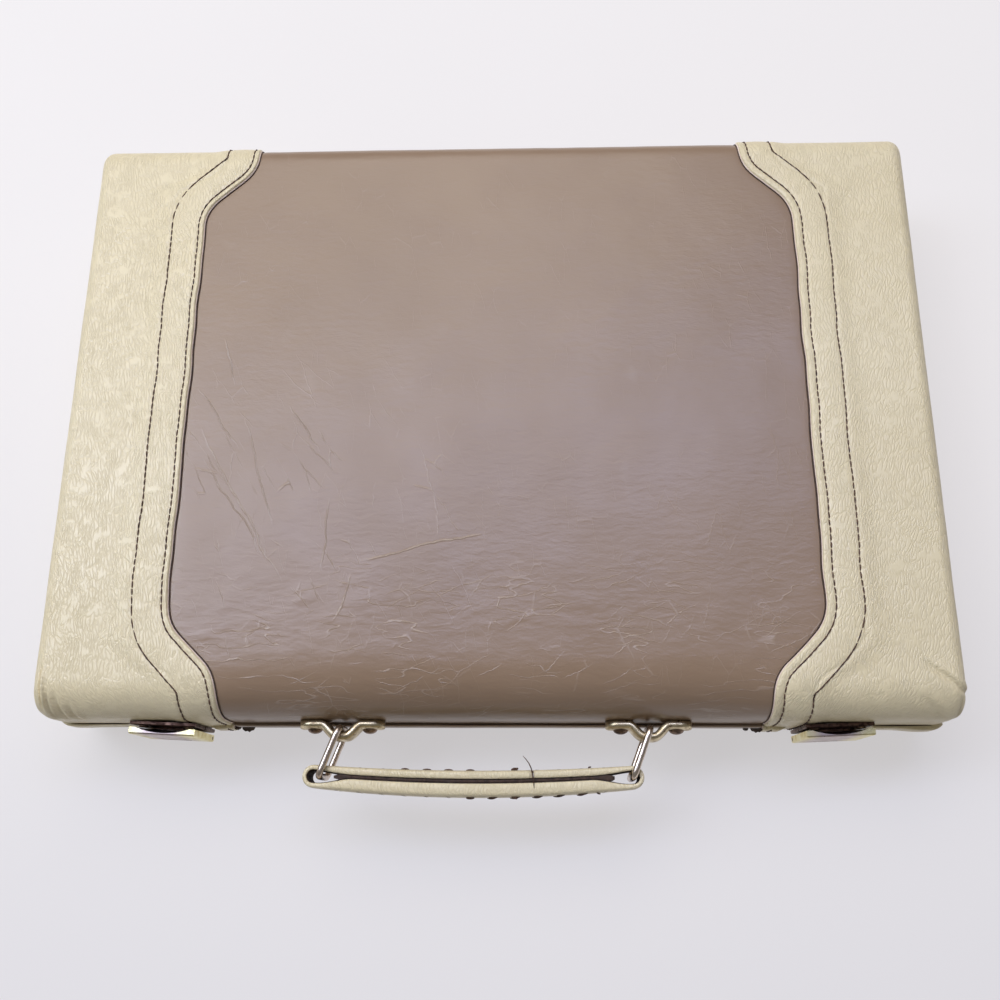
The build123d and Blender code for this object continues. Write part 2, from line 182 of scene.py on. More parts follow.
def to_object(name, vertices, faces, materials, body, face_materials=None, smooth=True):
    """A mesh in millimetres about the case's middle becomes a piece that rides on a body."""
    mesh = bpy.data.meshes.new(name)
    points = np.array(vertices, float)
    points[:, 1] += case_y
    mesh.from_pydata((points * millimetre).tolist(), [], faces)
    for item in materials:
        mesh.materials.append(item)
    if face_materials is not None:
        mesh.polygons.foreach_set("material_index", face_materials)
    shading = bmesh.new()
    shading.from_mesh(mesh)
    bmesh.ops.remove_doubles(shading, verts=shading.verts, dist=weld * millimetre)
    bmesh.ops.recalc_face_normals(shading, faces=shading.faces)
    shading.to_mesh(mesh)
    shading.free()
    mesh.polygons.foreach_set("use_smooth", [smooth] * len(mesh.polygons))
    piece = linked(name, mesh)
    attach(piece, body)
    return piece


def grid_faces(rows, columns, start=0, closed=False):
    """Quads of a grid of points, stored row by row."""
    faces = []
    width = columns if closed else columns - 1
    for row in range(rows - 1):
        for column in range(width):
            right = (column + 1) % columns
            low = start + row * columns
            high = low + columns
            faces.append((low + column, low + right, high + right, high + column))
    return faces


def end_caps(rows, columns, start=0):
    """Faces that close both ends of a tube, stored row by row."""
    last = start + (rows - 1) * columns
    return [tuple(range(start, start + columns)), tuple(range(last, last + columns))]


def circle(sides):
    """Cosine and sine of each of a circle's steps."""
    turns = [2 * math.pi * turn / sides for turn in range(sides)]
    return [(math.cos(turn), math.sin(turn)) for turn in turns]


def smoothstep(value):
    value = np.clip(value, 0.0, 1.0)
    return value * value * (3.0 - 2.0 * value)


def bell(value, width):
    return np.exp(-(value / width) ** 2)


def field(x, y, z, scale, seed):
    """Smooth noise from -1 to 1 at many points."""
    flat = zip(np.ravel(x), np.ravel(y), np.ravel(z))
    found = [noise.noise((a / scale + seed, b / scale, c / scale)) for a, b, c in flat]
    return np.array(found).reshape(np.shape(x))


# Case shell: one profile from the front seam over the top to the back seam
def soft_ramp(value, softness):
    """A rise from 0 to 1 whose corners are rounded off."""
    def area(v):
        return np.where(v < 0, 0.0, np.where(v > 1, v - 0.5, v * v / 2))
    return (area(value + softness) - area(value - softness)) / (2 * softness)


seam_low = seam_z + seam_gap / 2 + lip_round
top_z = case_height - hem_proud
lip_arc = lip_round * math.pi / 2
lip_steps = np.array([lip_arc * 0.33, lip_arc * 0.66, lip_arc, lip_arc + lip_depth])


def shell_profile(front_radius, front_soft):
    """Distance, direction and place along the skin from the front seam over the top to the back seam."""
    wall = top_z - front_radius - seam_low
    arc = front_radius * math.pi / 2
    back_arc = back_round * math.pi / 2
    run = case_depth - front_radius - back_round
    length = wall + arc + run + back_arc + top_z - back_round - seam_low
    s = np.linspace(0, length, 2000)
    back_from = wall + arc + run
    angle = math.pi - math.pi / 2 * soft_ramp((s - wall) / arc, front_soft)
    angle = angle - math.pi / 2 * soft_ramp((s - back_from) / back_arc, back_softness)
    step = s[1] - s[0]
    y = -case_depth / 2 + np.cumsum(np.sin(angle)) * step
    z = seam_low + np.cumsum(-np.cos(angle)) * step
    y += (case_depth / 2 - y[-1]) * s / length
    z += (seam_low - z[-1]) * s / length
    return s, angle, y, z


# The front edge is rolled softly in the middle and drawn tight towards the ends
profile_s, profile_angle, profile_y, profile_z = shell_profile(front_round, front_softness)
tight_angle, tight_y, tight_z = shell_profile(tight_round, tight_softness)[1:]
girth = profile_s[-1]
front_wall = top_z - front_round - seam_low
front_end = front_wall + front_round * math.pi / 2
back_start = front_end + case_depth - front_round - back_round


def along_profile(s, across):
    """Place and outward normal at a distance along the profile, in a section across from the middle."""
    share = smoothstep((across - tight_from) / tight_over)
    angle, y, z = (
        np.interp(s, profile_s, soft) * (1 - share) + np.interp(s, profile_s, tight) * share
        for soft, tight in ((profile_angle, tight_angle), (profile_y, tight_y), (profile_z, tight_z))
    )
    return y, z, np.cos(angle), np.sin(angle)


def lip(distance):
    """How far the turned-in lip has gone inward and down at a distance past the edge."""
    turn = np.clip(distance / lip_round, 0, math.pi / 2)
    inward = lip_round * (1 - np.cos(turn)) + np.maximum(distance - lip_arc, 0)
    return inward, lip_round * np.sin(turn)


def shell_point(s, across, lift):
    """A point of the lid's skin: s along the profile, across from the middle round to the end face."""
    s, across, lift = np.broadcast_arrays(s, across, lift)
    inward, down = lip(np.maximum(np.maximum(-s, s - girth), 0))
    y, z, ny, nz = along_profile(np.clip(s, 0, girth), across)
    turn = np.clip((across - flat_end) / end_round, 0, math.pi / 2)
    out = lift - inward
    x = np.minimum(across, flat_end) + end_round * np.sin(turn) + out * np.sin(turn)
    back = end_round * (1 - np.cos(turn))
    y = y - back * ny + out * np.cos(turn) * ny
    z = z - back * nz + out * np.cos(turn) * nz - down
    return np.stack([x, y, z], -1)


def end_face_point(s, share, past, lift):
    """A point of the flat end: share goes down to the seam, past goes on round its lip."""
    s, share, past, lift = np.broadcast_arrays(s, share, past, lift)
    y, z, ny, nz = along_profile(s, case_width / 2)
    y = y - end_round * ny
    z = z - end_round * nz
    foot = (s / girth - 0.5) * (case_depth - 2 * end_round)
    inward, down = lip(past)
    y = y + (foot - y) * share
    z = z + (seam_low - z) * share - down
    x = case_width / 2 + lift - inward
    return np.stack([x, y, z], -1)


# Edge of the end covers, as a distance from the middle for each place along the profile
def rounded_corner_line(corners, radius):
    """Points of a polyline whose corners are rounded."""
    corners = [Vector(corner) for corner in corners]
    points = [corners[0]]
    for before, here, after in zip(corners, corners[1:], corners[2:]):
        into = (here - before).normalized()
        out = (after - here).normalized()
        turn = into.angle(out)
        reach = radius * math.tan(turn / 2)
        start, end = here - into * reach, here + out * reach
        for step in range(9):
            t = step / 8
            points.append((1 - t) ** 2 * start + 2 * t * (1 - t) * here + t * t * end)
    points.append(corners[-1])
    return np.array([tuple(point) for point in points])


front = -case_depth / 2
back = case_depth / 2
edge_line = rounded_corner_line([
    (front - 50, edge_end_x),
    (front + edge_turns_front[0], edge_end_x),
    (front + edge_turns_front[1], edge_middle_x),
    (back - edge_turns_back[1], edge_middle_x),
    (back - edge_turns_back[0], edge_end_x),
    (back + 50, edge_end_x),
], edge_bend)
edge_x = np.interp(profile_y, edge_line[:, 0], edge_line[:, 1])
edge_slopes = np.gradient(edge_x, profile_s)


def edge_at(s, side):
    """Edge of an end cover, a little uneven as cut by hand, and the slant of its line."""
    s = np.clip(s, 0, girth)
    wobble = 0.25 * np.sin(s / 9.0 + 2 * side) + 0.2 * np.sin(s / 3.7 + side) * np.sin(s / 41.0)
    slope = np.interp(s, profile_s, edge_slopes)
    return np.interp(s, profile_s, edge_x) + wobble, 1 / np.sqrt(1 + slope * slope)


def offset_edge(s, side, distance):
    """The edge moved outward by a distance square to its line."""
    x, slant = edge_at(s, side)
    slope = np.interp(np.clip(s, 0, girth), profile_s, edge_slopes)
    return x + distance * slant, s - distance * slope * slant


def undulation(s, across, seed):
    """Slow waves of vinyl over a wooden shell."""
    flat = np.zeros_like(s)
    return sum(height * field(across, s, flat, width, seed + more) for height, width, more in vinyl_waves)


def hem_lift(distance, side):
    """Height of an end cover over the shell at a distance from its edge."""
    proud = hem_height * (1 - smoothstep((distance - outer_stitch) / hem_fade))
    puff, middle, width = hem_puff
    lift = proud + puff * bell(distance - middle, width)
    for (depth, width), place in ((inner_groove, inner_stitch[side]), (outer_groove, outer_stitch)):
        lift = lift - depth * bell(distance - place, width)
    return lift


def half_lift(half, s, across, side=1):
    """The base half stands a little proud of the lid along the front, except behind the latches."""
    s, across = np.broadcast_arrays(s, across)
    if half == "lid":
        return np.zeros(s.shape)
    out = np.abs(across)
    share = np.where(out > latch_middle, end_proud[side], 1.0)
    start, fade = base_proud_rows
    low = 1 - smoothstep((s - start) / fade)
    clear = smoothstep((np.abs(out - latch_middle) - latch_half) / latch_fade)
    height = base_proud * clear + corner_proud * bell(out - corner_at, corner_width)
    return share * low * height * np.where(out > end_from, end_share, 1.0)


# Folds of the front corners: place across, middle along, depth, width, slope and length
corner_folds = {
    -1: [
        (186.0, 34.0, 1.9, 0.5, 0.02, 8.5), (182.8, 25.0, 1.6, 0.45, 0.08, 8.0),
        (178.6, 23.0, 1.1, 0.8, 0.16, 8.0), (173.4, 19.0, 0.9, 0.8, 0.2, 7.0),
        (190.4, 27.0, 1.0, 0.6, 0.0, 8.0),
    ],
    1: [
        (182.0, 38.0, 1.3, 1.7, -1.25, 6.5), (176.0, 26.0, 0.6, 2.0, -0.9, 6.0),
        (187.5, 22.0, 0.9, 0.6, 0.1, 8.0),
    ],
}
ridge_height = 0.45
ridge_offset = 2.4
ridge_width = 1.6


def corner_pleats(s, across, side):
    """Folds where the vinyl is drawn round the front corners: a groove and a ridge beside it."""
    total = np.zeros(np.broadcast(s, across).shape)
    for place, middle, depth, width, slope, length in corner_folds[side]:
        apart = across - place - (s - middle) * slope
        reach = depth * np.exp(-((s - middle) / length) ** 4)
        ridge = bell(apart - side * ridge_offset * width, ridge_width * width)
        total += reach * (ridge_height * ridge - bell(apart, width))
    return total


def place_half(points, half, side):
    """The lid's points turned to the left or right end, and to the base if asked."""
    points = points.copy()
    points[..., 0] *= side
    if half == "base":
        points[..., 2] = np.maximum(case_height - points[..., 2], above_floor)
    return points


profile_rows = np.concatenate([
    -lip_steps[::-1],
    np.linspace(0, front_end + 6, 66),
    np.linspace(front_end + 8, back_start - 4, 112),
    np.linspace(back_start - 2, girth, 26),
    girth + lip_steps,
])

# The folded raw edge of a hem, as distances from the edge and lifts
fold = np.array([
    (-0.45, -0.42), (-0.62, -0.25), (-0.5, -0.05), (-0.1, 0.0), (0.0, 0.2), (0.1, 0.48), (0.38, 0.72),
])
raw_edge_columns = 3


def end_cover(half, side, vinyl, raw_edge):
    """Cream cover of one end: folded hem, two stitched grooves, rounded end and turned-in lip."""
    name = f"{half}_cover_{side_name(side)}"
    s = profile_rows[:, None]
    edge, slant = edge_at(s, side)
    distances = np.concatenate([np.linspace(0.8, 19.0, 27), np.linspace(20.6, 26.0, 4)])
    hem_across = edge + distances / slant
    last = hem_across[:, -1:]
    wide_across = last + (flat_end - last) * np.linspace(0, 1, 50)[1:]
    round_across = flat_end + end_round * np.linspace(0, math.pi / 2, 25)[1:] + 0 * s
    across = np.concatenate([hem_across, wide_across, round_across], 1)
    distance = (across - edge) * slant
    seed = 3.0 * side + (9 if half == "base" else 0)
    waves = undulation(s + 0 * across, across, seed) * smoothstep((distance - 3) / 10)
    lift = hem_lift(distance, side) + waves
    if half == "lid":
        lift = lift + corner_pleats(s + 0 * across, across, side)
    lift = lift + half_lift(half, s, across, side)
    fold_across = edge + fold[:, 0] / slant
    fold_points = shell_point(s, fold_across, fold[:, 1] + half_lift(half, s, fold_across, side))
    top_points = shell_point(s, across, lift)
    rows = len(profile_rows)
    columns = len(fold) + across.shape[1]
    points = [np.concatenate([fold_points, top_points], 1).reshape(-1, 3)]
    faces = grid_faces(rows, columns)
    kinds = [1 if face[0] % columns < raw_edge_columns else 0 for face in faces]

    inside = (profile_rows >= 0) & (profile_rows <= girth)
    inner = s[inside]
    shares = np.linspace(0, 1, 14)
    flat_points = end_face_point(inner, shares, 0.0, lift[inside, -1:] * (1 - shares))
    lip_points = end_face_point(inner, 1.0, lip_steps, 0.0)
    points.append(np.concatenate([flat_points, lip_points], 1).reshape(-1, 3))
    end_faces = grid_faces(len(inner), len(shares) + len(lip_steps), rows * columns)
    faces += end_faces
    kinds += [0] * len(end_faces)
    placed = place_half(np.concatenate(points), half, side)
    piece = to_object(name + "_vinyl", placed, faces, [vinyl, raw_edge], half, kinds)
    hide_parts(name)


hinge_spans = [(-109.6, -58.4), (58.4, 109.6)]
hinge_notch = 1.1


def centre_cover(half, vinyl):
    """Taupe cover between the end covers, running under their hems, let down where the hinges pass."""
    across = np.linspace(-1, 1, 150)
    s = profile_rows[:, None]
    edge = edge_at(s, 1)[0]
    x = across * (edge + hem_tuck)
    notch = sum((x > low) & (x < high) for low, high in hinge_spans)
    s_full = s + 0 * x
    s_full = s_full - notch * hinge_notch * smoothstep((s_full - girth + 6) / 5)
    tuck = np.abs(x) - edge
    lift = -centre_drop + undulation(s_full, x, 21.0 if half == "lid" else 40.0)
    lift = lift - 0.25 * np.exp(-np.maximum(-tuck, 0) / 1.6) - 0.3 * smoothstep(tuck / 2)
    lift = lift + half_lift(half, s_full, x)
    points = shell_point(s_full, np.abs(x), lift)
    points[..., 0] *= np.where(x < 0, -1.0, 1.0)
    placed = place_half(points.reshape(-1, 3), half, 1)
    faces = grid_faces(len(profile_rows), len(across))
    piece = to_object(f"{half}_cover_centre_vinyl", placed, faces, [vinyl], half)
    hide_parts(f"{half}_cover_centre")


# Thread, and dark lines painted as shade along the hems and the front seam
def tapered_tube(points, normals, radius, faces, vertices, sides=7):
    """A short tube through points, tapered to nothing at both ends: a run of thread, or a painted shade
    line.
    """
    points = np.array(points)
    count = len(points)
    tangents = np.gradient(points, axis=0)
    start = len(vertices)
    for place, (centre, normal, tangent) in enumerate(zip(points, normals, tangents)):
        tangent = tangent / np.linalg.norm(tangent)
        across = np.cross(tangent, normal)
        across /= np.linalg.norm(across)
        up = np.cross(across, tangent)
        size = radius * math.sqrt(math.sin(math.pi * (place + 0.35) / (count - 0.3)))
        vertices += [centre + size * (c * across + s * up) for c, s in circle(sides)]
    faces += grid_faces(count, sides, start, closed=True)


def skin_tube(s, x, lift, radius, faces, vertices):
    """A tube that lies on the skin, at a height over it: thread, or a painted shade line."""
    points = shell_point(s, x, lift)
    tapered_tube(points, shell_point(s, x, lift + 1) - points, radius, faces, vertices)


def edge_trim(kind, half, side, vertices, faces, material, smooth=True):
    """Trim along the edge of an end cover, placed on its half and side."""
    placed = place_half(np.array(vertices), half, side)
    to_object(f"{kind}_{side_name(side)}", placed, faces, [material], half, smooth=smooth)


def seam_stitches(half, side, thread):
    """Both rows of stitches of an end cover."""
    vertices, faces = [], []
    count = len(stitch_arch)
    for distance in (inner_stitch[side], outer_stitch):
        centre = 1.4
        while centre < girth - 1.2:
            skew = random.uniform(-0.12, 0.12)
            along = np.linspace(-0.5, 0.5, count) * stitch_length * random.uniform(0.93, 1.03)
            x, s = offset_edge(np.clip(centre + along, 0.2, girth - 0.2), side, distance)
            x = x + along * skew / 2 + random.uniform(-0.08, 0.08)
            lift = hem_lift(np.full(count, distance), side) + stitch_arch + half_lift(half, s, x)
            skin_tube(s, x, lift, thread_radius, faces, vertices)
            slope = np.interp(centre, profile_s, edge_slopes)
            centre += stitch_pitch / math.sqrt(1 + slope * slope)
    edge_trim(f"{half}_stitches", half, side, vertices, faces, thread)


def hem_shade_line(half, side, material):
    """Dark line along the foot of the hem: painted shade under the hem's lip."""
    vertices, faces = [], []
    s = np.concatenate([np.linspace(0.2, front_end + 6, 50), np.linspace(50, girth - 0.2, 130)])
    edge, slant = edge_at(s, side)
    x = edge - hem_shade_line_at / slant
    lift = 0.1 - centre_drop + half_lift(half, s, x)
    skin_tube(s, x, lift, hem_shade_line_radius, faces, vertices)
    edge_trim(f"{half}_hem_line", half, side, vertices, faces, material)


# Flaps of torn lining by side: place across, width and size; then a flap's outline: across, along, out
torn_flaps = {-1: [(111.6, 3.0, 0.5), (106.8, 5.6, 0.95)], 1: [(111.0, 5.2, 0.85), (106.4, 2.4, 0.45)]}
flap_outline = [
    (-0.5, 0.3, 0.1), (0.5, 0.3, 0.1), (0.48, 0.0, 0.7), (0.3, -0.5, 1.5), (0.12, -0.4, 1.3),
    (-0.02, -0.8, 1.8), (-0.16, -0.5, 1.2), (-0.36, -0.5, 0.9),
]
flap_thickness = 0.45


def torn_edges(side, material):
    """Frayed dark flaps of lining that stand out below the hem on the base."""
    vertices, faces = [], []
    for place, width, size in torn_flaps[side]:
        start = len(vertices)
        for layer in (0.0, flap_thickness):
            for across, along, out in flap_outline:
                x = np.array([place + across * width])
                s = np.array([1.2 - along * 1.6 * size])
                lift = out * size + layer - 0.3 + half_lift("base", s, x)
                vertices.append(shell_point(s, x, lift)[0])
        count = len(flap_outline)
        faces += end_caps(2, count, start)[::-1] + grid_faces(2, count, start, closed=True)
    edge_trim("torn_lining", "base", side, vertices, faces, material, smooth=False)


def seam_shade_line(material):
    """Dark line painted along the front where the lid meets the base, as the shade in the gap between
    them, broken at the latches.
    """
    vertices, faces = [], []
    for low, high in seam_shade_spans:
        x = np.linspace(low, high, int((high - low) / 2) + 2)
        y = front - 0.2 + 0.08 * np.sin(x / 7.0)
        points = np.stack([x, y, seam_z + 0.0 * x], -1)
        normals = np.tile([0.0, -0.4, 0.9], (len(x), 1))
        tapered_tube(points, normals, fine_tube_radius, faces, vertices)
    to_object("front_seam_line", vertices, faces, [material], "base")


# Handle strap, ring wires
strap_low, strap_high = node_box("handle_strap")
strap_x, _, strap_z = (strap_low + strap_high) / 2
strap_y = strap_low[1] + strap_middle / 2 + strap_bow


def strap_edges(x):
    """Far and near faces of the folded strap at a place along it."""
    t = np.clip(np.abs(x) / strap_eye_x, 0, 1)
    middles = (strap_middle / 2 - strap_bow, -strap_middle / 2 - strap_bow)
    return [start + (end - start) * t**2 for start, end in zip(middles, (strap_end, -strap_end))]


def strap_layers(x):
    """Centre and thickness of the far and near layers at a place along the strap."""
    far, near = strap_edges(x)
    opening = 1 - smoothstep((strap_eye_x - np.abs(x)) / 17.0)
    gap = strap_gap + (2 * (strap_end - strap_skin) - strap_gap) * opening
    body = far - near - gap
    far_share = 0.5 - 0.11 * (1 - opening)
    far_thick = body * far_share
    near_thick = body - far_thick
    return far - far_thick / 2, far_thick, near + near_thick / 2, near_thick


def strap_path():
    """The strap's closed centreline with its thickness, from the butt seam round both eyes."""
    def run(start, end, count, layer):
        x = np.linspace(start, end, count)
        return list(zip(x, *strap_layers(x)[layer]))

    def eye(side):
        turns = np.linspace(0, math.pi, 13)[1:-1]
        reach = side * (strap_end - strap_skin / 2)
        start = side * strap_eye_x
        return [(start + reach * math.sin(t), reach * math.cos(t), strap_skin) for t in turns]

    far, near = slice(0, 2), slice(2, 4)
    rows = run(strap_seam_x, strap_eye_x, 40, far) + eye(1)
    rows += run(strap_eye_x, -strap_eye_x, 90, near) + eye(-1)
    return np.array(rows + run(-strap_eye_x, strap_seam_x - 0.35, 42, far))


def strap_section(thickness):
    """Section across the strap: crowned faces and rounded, folded edges."""
    half_height = strap_height / 2
    points = []
    for c, s in circle(strap_columns):
        out = thickness / 2 * math.copysign(abs(c) ** (2 / face_power), c)
        up = half_height * math.copysign(abs(s) ** (2 / edge_power), s)
        points.append((out * (1 - strap_crown * (up / half_height) ** 2), up))
    return points


def strap_body(vinyl, dark_backing_and_shade):
    """The folded strap, standing on edge, with its dark backing on the inner side, which also paints the
    shade in the gap between the layers.
    """
    rows = strap_path()
    tangents = np.gradient(rows[:, :2], axis=0)
    tangents /= np.linalg.norm(tangents, axis=1)[:, None]
    vertices = []
    for place, ((x, y, thickness), tangent) in enumerate(zip(rows, tangents)):
        out_x, out_y = -tangent[1], tangent[0]
        slack = 0.12 * noise.noise((place * 0.13, 3.0, 0.0))
        for out, up in strap_section(thickness):
            vertices.append((strap_x + x + out_x * out, strap_y + y + out_y * out, strap_z + up + slack))
    faces = grid_faces(len(rows), strap_columns, closed=True)
    inner = [out < -0.3 for out, up in strap_section(1.0)]
    kinds = [int(inner[face[0] % strap_columns] and inner[face[1] % strap_columns]) for face in faces]
    faces += end_caps(len(rows), strap_columns)
    kinds += [0, 0]
    skins = [vinyl, dark_backing_and_shade]
    piece = to_object("handle_strap_vinyl", vertices, faces, skins, "handle_strap", kinds)
    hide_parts("handle_strap")


def strap_layer_shade(dark_backing_and_shade):
    """Dark strip between the two layers, painted shade in the gap between them, ending in a rough edge at
    each eye.
    """
    places = np.linspace(-strap_eye_x + 8.5, strap_eye_x - 7.5, 120)
    far_y, far_t, near_y, near_t = strap_layers(places)
    vertices = []
    highs, lows = far_y - far_t / 2 + 0.2, near_y + near_t / 2 - 0.2
    for place, (x, high, low) in enumerate(zip(places, highs, lows)):
        end = min(place, len(places) - 1 - place)
        close = min(1.0, 0.35 + 0.22 * end)
        rough = 0.5 * noise.noise((x * 0.9, 4.0, 0.0))
        middle, half = (high + low) / 2, (high - low) / 2 * close
        top = strap_height / 2 - 0.9 + rough
        for y, z in ((half, top), (-half, top), (-half, -top), (half, -top)):
            vertices.append((strap_x + x, strap_y + middle + y, strap_z + z))
    faces = grid_faces(len(places), 4, closed=True) + end_caps(len(places), 4)
    to_object("strap_layer_shade", vertices, faces, [dark_backing_and_shade], "handle_strap", smooth=False)


# Where the strap's long stitches hang loose on its far (1) and near (-1) face
slack_runs = {1: (-33, 4), -1: (-7, 47)}
long_arch = np.array([-0.5, 0.0, 0.12, 0.16, 0.12, 0.0, -0.5])

# Knots on the strap: place along it, face and size; and the loose end by the seam
strap_knots = [(17.3, 1, 1.0), (17.3, -1, 0.7), (51.5, -1, 0.5), (48.0, 1, 0.4)]
loose_end = np.array([
    (25.2, -4.6, 0.1), (25.1, -2.8, 0.5), (24.9, -1.0, 0.6), (24.6, 1.2, 0.5), (24.0, 3.4, 0.9),
    (23.1, 5.3, 1.2), (21.8, 7.0, 1.3), (20.7, 8.2, 1.1),
])


def strap_stitches(thread):
    """Long stitches along both faces of the strap, knots and one loose end."""
    vertices, faces = [], []
    for face in (1, -1):
        slack_from, slack_to = slack_runs[face]
        for level in (strap_stitch_level, -strap_stitch_level):
            x = -strap_stitch_end
            while x < strap_stitch_end:
                along = np.linspace(-0.5, 0.5, 7) * strap_stitch_length * random.uniform(0.85, 1.1)
                far, near = strap_edges(x + along)
                stand = long_arch - (0.0 if slack_from < x < slack_to else 0.5)
                y = (far if face > 0 else near) + face * stand
                z = strap_z + level * strap_height / 2 + 0 * along
                points = np.stack([strap_x + x + along, strap_y + y, z], -1)
                normals = np.tile([0, float(face), 0], (len(along), 1))
                tapered_tube(points, normals, strap_thread, faces, vertices)
                x += strap_stitch_pitch * random.uniform(0.96, 1.04)
    for x, face, size in strap_knots:
        far, near = strap_edges(x)
        y = (far if face > 0 else near) + face * 0.3
        turns = np.linspace(0, 2.6 * math.pi, 16)
        ring_x = strap_x + x + 1.1 * size * np.cos(turns)
        ring_z = strap_z + strap_stitch_level * strap_height / 2 + 0.8 * size * np.sin(turns)
        points = np.stack([ring_x, strap_y + y + face * 0.3 * size * np.sin(turns * 1.3), ring_z], -1)
        normals = np.tile([0.1, float(face), 0.1], (len(points), 1))
        tapered_tube(points, normals, 0.45 * size + 0.1, faces, vertices)
    points = loose_end + (strap_x, strap_y, strap_z + strap_height / 2)
    normals = np.tile([0.05, 0.0, 1.0], (len(points), 1))
    tapered_tube(points, normals, fine_tube_radius, faces, vertices)
    to_object("handle_stitches", vertices, faces, [thread], "handle_strap")


def ring_wire_piece(name, metal):
    """Oblong ring of drawn wire, closed all round; the butt joint in its upper leg is not modelled."""
    low, high = node_box(name)
    span = high[:2] - low[:2] - ring_wire
    reach = math.hypot(*span)
    direction = -span / reach
    start = high[:2] - ring_wire / 2
    middle_z = (low[2] + high[2]) / 2
    left, right = ring_corner, reach - ring_corner
    top = (high[2] - low[2] - ring_wire) / 2 - ring_corner
    outline = []
    for quarter, centre in enumerate(((right, top), (left, top), (left, -top), (right, -top))):
        for step in range(9):
            turn = (quarter + step / 8) * math.pi / 2
            outline.append(np.add(centre, (ring_corner * math.cos(turn), ring_corner * math.sin(turn))))
    path = []
    for here, after in zip(outline, outline[1:] + outline[:1]):
        count = max(1, int(math.dist(here, after) / 1.5))
        path += [here + (after - here) * step / count for step in range(count)]
    vertices = []
    side_normal = np.array([-direction[1], direction[0], 0.0])
    for place, (along, up) in enumerate(path):
        tangent = path[(place + 1) % len(path)] - path[place - 1]
        tangent /= np.linalg.norm(tangent)
        out = np.array([*(direction * -tangent[1]), tangent[0]])
        centre = np.array([*(start + direction * along), middle_z + up])
        radius = ring_wire / 2 * (1 + 0.03 * noise.noise((along * 0.4, up * 0.4, 1.0)))
        vertices += [centre + radius * (c * out + s * side_normal) for c, s in circle(ring_sides)]
    faces = grid_faces(len(path) + 1, ring_sides, closed=True)
    faces = [tuple(corner % len(vertices) for corner in face) for face in faces]
    piece = to_object(name + "_wire", vertices, faces, [metal], name)
    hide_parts(name)


def bracket_section(x):
    """Section of the strip at a place along it: domed outside, flat against the wall."""
    past = max(abs(x) - (bracket_half_width - bracket_end_round), 0.0)
    half = bracket_half_height - bracket_end_round + math.sqrt(max(bracket_end_round**2 - past**2, 0.09))
    points = []
    for step in range(11):
        level = math.sin((step / 10 - 0.5) * math.pi)
        dome = bracket_dome * min(half / 4.0, 1.0) * (1 - level**2) - 0.5 * level**8
        points.append((bracket_strip / 2 + bracket_edge + dome, level * half))
    points.append((-bracket_strip / 2, 0.97 * half))
    points.append((-bracket_strip / 2, -0.97 * half))
    return points


def bracket_piece(side, metal):
    """Strip bent out into a loop around the ring, with soft shoulders."""
    name = f"handle_bracket_{side_name(side)}"
    low, high = node_box(name)
    wall_y = high[1]
    middle_x, _, middle_z = (low + high) / 2
    places = np.linspace(-bracket_half_width, bracket_half_width, 97)
    out = bracket_strip / 2 + loop_out * (1 - smoothstep((np.abs(places) - loop_flat) / loop_fall))
    slopes = np.gradient(out, places)
    vertices = []
    for x, y, slope in zip(places, out, slopes):
        length = math.hypot(1.0, slope)
        for offset, up in bracket_section(x):
            reach = offset + 0.05 * noise.noise((x * 0.5 + side * 9, up * 0.5, 2.0))
            at_x = middle_x + x - slope / length * reach
            vertices.append((at_x, wall_y - y - reach / length, middle_z + up))
    columns = len(bracket_section(0.0))
    faces = grid_faces(len(places), columns, closed=True) + end_caps(len(places), columns)
    piece = to_object(name + "_strip", vertices, faces, [metal], "lid")
    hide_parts(name)


# A rivet head's section, as radii and distances out from the strip
rivet_profile = [(2.4, 0.2), (3.25, 0.75), (3.4, 1.3), (3.2, 2.1), (2.6, 2.95), (1.6, 3.5), (0.6, 3.72)]
rivet_sides = 28


def bracket_rivets(metal):
    """Four high domed rivet heads, a little uneven from the hammer."""
    vertices, faces = [], []
    low, high = node_box("handle_bracket_left")
    face_y = high[1] - bracket_strip
    middle_z = (low[2] + high[2]) / 2
    for middle in (-bracket_rivets_at, bracket_rivets_at):
        for step in (-1, 1):
            start = len(vertices)
            x = middle + step * bracket_rivet_x
            for row, (radius, out) in enumerate(rivet_profile):
                for c, s in circle(rivet_sides):
                    uneven = radius * (1 + 0.05 * noise.noise((c + x, s, row * 0.6)))
                    vertices.append((x + uneven * c, face_y - out, middle_z + uneven * s))
            faces += grid_faces(len(rivet_profile), rivet_sides, start, closed=True)
            faces += end_caps(len(rivet_profile), rivet_sides, start)[::-1]
    piece = to_object("bracket_rivet_heads", vertices, faces, [metal], "lid")
    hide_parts("bracket_rivets")


# Materials
jag_scale = 420.0


def linear(red, green, blue):
    """Display colour 0 to 255 as a linear colour with full opacity."""
    def one(value):
        value /= 255
        return value / 12.92 if value <= 0.04045 else ((value + 0.055) / 1.055) ** 2.4
    return one(red), one(green), one(blue), 1.0


